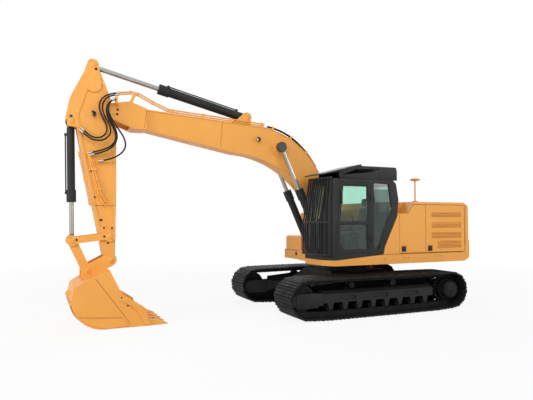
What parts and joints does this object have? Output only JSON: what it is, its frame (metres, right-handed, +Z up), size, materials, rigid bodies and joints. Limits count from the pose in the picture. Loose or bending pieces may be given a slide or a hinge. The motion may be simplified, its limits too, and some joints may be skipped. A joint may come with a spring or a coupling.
{
  "type": "crawler excavator",
  "caption": "Tracked digging machine with a slewing house, guarded cab, bent boom, straight stick and toothed bucket worked by cylinders.",
  "frame": {"origin": "on the ground under the middle of the whole machine's box", "axes": "+X forward toward the bucket, +Y left, the cab's side, +Z up"},
  "size_m": [9.495, 3.38, 5.2574],
  "materials": {
    "body_paint": "semi-gloss",
    "dark_paint": "dusty",
    "guard_paint": "satin",
    "track_steel": "worn",
    "rod_chrome": "polished",
    "tinted_glass": "clear",
    "seat_fabric": "matte",
    "dark_plastic": "matte",
    "black_rubber": "matte"
  },
  "bodies": {
    "undercarriage": {"carbody": "dark_paint", "slew_ring": "track_steel", "track_frame_left": "dark_paint", "track_frame_right": "dark_paint", "track_left": "track_steel", "track_right": "track_steel", "idlers": "track_steel", "drive_sprockets": "track_steel", "rollers": "track_steel"},
    "house": {"upper_frame": "body_paint", "counterweight": "body_paint", "engine_house": "body_paint", "left_panel": "body_paint", "engine": "track_steel", "fuel_tank": "body_paint", "hydraulic_tank": "body_paint", "tool_box": "body_paint", "cab_frame": "guard_paint", "cab_glass": "tinted_glass", "front_guard": "guard_paint", "roof_guard": "guard_paint", "seat": "seat_fabric", "cab_controls": "dark_plastic", "receiver_mast": "body_paint", "handrail": "guard_paint"},
    "cab_door": {"cab_door": "guard_paint", "door_glass": "tinted_glass"},
    "left_front_door": {"left_front_door": "body_paint"},
    "left_rear_door": {"left_rear_door": "body_paint"},
    "right_front_door": {"right_front_door": "body_paint"},
    "right_rear_door": {"right_rear_door": "body_paint"},
    "hood_lid": {"hood_lid": "body_paint"},
    "boom": {"boom": "body_paint", "boom_hoses": "black_rubber", "boom_lamp": "guard_paint", "nose_hose_1": "black_rubber", "nose_hose_2": "black_rubber", "nose_hose_3": "black_rubber", "nose_hose_4": "black_rubber", "nose_hose_5": "black_rubber"},
    "boom_barrels": {"boom_barrels": "guard_paint"},
    "boom_rods": {"boom_rods": "rod_chrome"},
    "stick": {"stick": "body_paint", "stick_lamp": "guard_paint"},
    "stick_barrel": {"stick_barrel": "guard_paint"},
    "stick_rod": {"stick_rod": "rod_chrome"},
    "bucket": {"bucket": "body_paint", "bucket_teeth": "body_paint"},
    "idler_links": {"idler_links": "body_paint"},
    "power_link": {"power_link": "body_paint"},
    "bucket_barrel": {"bucket_barrel": "guard_paint"},
    "bucket_rod": {"bucket_rod": "rod_chrome"}
  },
  "joints": [
    {"name": "slew", "type": "hinge", "parent": "undercarriage", "child": "house", "pos_m": [-1.66674, 0, 1.018], "axis": [0, 0, 1], "continuous": true},
    {"name": "boom", "type": "hinge", "parent": "house", "child": "boom", "pos_m": [-1.49774, 0, 1.9], "axis": [0, -1, 0], "range_deg": [-67, 37]},
    {"name": "boom_barrels", "type": "hinge", "parent": "house", "child": "boom_barrels", "pos_m": [-0.88674, 0, 1.4], "axis": [0, -1, 0], "range_deg": [-67.45, 37.39]},
    {"name": "boom_rods", "type": "slide", "parent": "boom_barrels", "child": "boom_rods", "axis": [0.4187, 0, 0.9081], "range_m": [-0.8119, 0.4502]},
    {"name": "stick", "type": "hinge", "parent": "boom", "child": "stick", "pos_m": [3.92516, 0, 4.22426], "axis": [0, 1, 0], "range_deg": [-78, 34], "deforming": ["nose_hose_1", "nose_hose_2", "nose_hose_3", "nose_hose_4", "nose_hose_5"]},
    {"name": "stick_barrel", "type": "hinge", "parent": "boom", "child": "stick_barrel", "pos_m": [0.96813, 0, 4.37125], "axis": [0, 1, 0], "range_deg": [-5.71, 2.66]},
    {"name": "stick_rod", "type": "slide", "parent": "stick_barrel", "child": "stick_rod", "axis": [0.9735, 0, 0.2285], "range_m": [-1.1806, 0.5169]},
    {"name": "bucket", "type": "hinge", "parent": "stick", "child": "bucket", "pos_m": [3.90971, 0, 1.2743], "axis": [0, 1, 0], "range_deg": [-80, 85]},
    {"name": "idler_links", "type": "hinge", "parent": "stick", "child": "idler_links", "pos_m": [3.91716, 0, 1.74227], "axis": [0, 1, 0], "range_deg": [-54.7, 58.1]},
    {"name": "power_link", "type": "hinge", "parent": "idler_links", "child": "power_link", "pos_m": [4.61174, 0, 1.66063], "axis": [0, 1, 0], "range_deg": [-51.3, 48.3]},
    {"name": "bucket_barrel", "type": "hinge", "parent": "stick", "child": "bucket_barrel", "pos_m": [4.66599, 0, 4.00038], "axis": [0, 1, 0], "range_deg": [-2.02, 2.13]},
    {"name": "bucket_rod", "type": "slide", "parent": "bucket_barrel", "child": "bucket_rod", "axis": [-0.0232, 0, -0.9997], "range_m": [-0.5798, 0.6158]},
    {"name": "cab_door", "type": "hinge", "parent": "house", "child": "cab_door", "pos_m": [-1.48874, 1.408, 2.1], "axis": [0, 0, 1], "range_deg": [0, 165]},
    {"name": "left_front_door", "type": "hinge", "parent": "house", "child": "left_front_door", "pos_m": [-3.02474, 1.382, 1.85], "axis": [0, 0, 1], "range_deg": [0, 100]},
    {"name": "left_rear_door", "type": "hinge", "parent": "house", "child": "left_rear_door", "pos_m": [-4.22659, 1.382, 1.85], "axis": [0, 0, 1], "range_deg": [0, 95]},
    {"name": "right_front_door", "type": "hinge", "parent": "house", "child": "right_front_door", "pos_m": [-3.02474, -1.382, 1.85], "axis": [0, 0, -1], "range_deg": [0, 100]},
    {"name": "right_rear_door", "type": "hinge", "parent": "house", "child": "right_rear_door", "pos_m": [-4.22659, -1.382, 1.85], "axis": [0, 0, -1], "range_deg": [0, 95]},
    {"name": "hood_lid", "type": "hinge", "parent": "house", "child": "hood_lid", "pos_m": [-3.16074, 0, 2.492], "axis": [0, 1, 0], "range_deg": [0, 60]}
  ],
  "couplings": [
    {"joint": "boom_barrels", "follows": "boom", "ratio": 1.0023},
    {"joint": "boom_rods", "follows": "boom", "m_per_rad": 0.6909},
    {"joint": "stick_barrel", "follows": "stick", "ratio": 0.0694},
    {"joint": "stick_rod", "follows": "stick", "m_per_rad": 0.8643},
    {"joint": "idler_links", "follows": "bucket", "ratio": 0.68},
    {"joint": "power_link", "follows": "bucket", "ratio": -0.6},
    {"joint": "bucket_barrel", "follows": "bucket", "ratio": 0.0215},
    {"joint": "bucket_rod", "follows": "bucket", "m_per_rad": 0.4124}
  ]
}
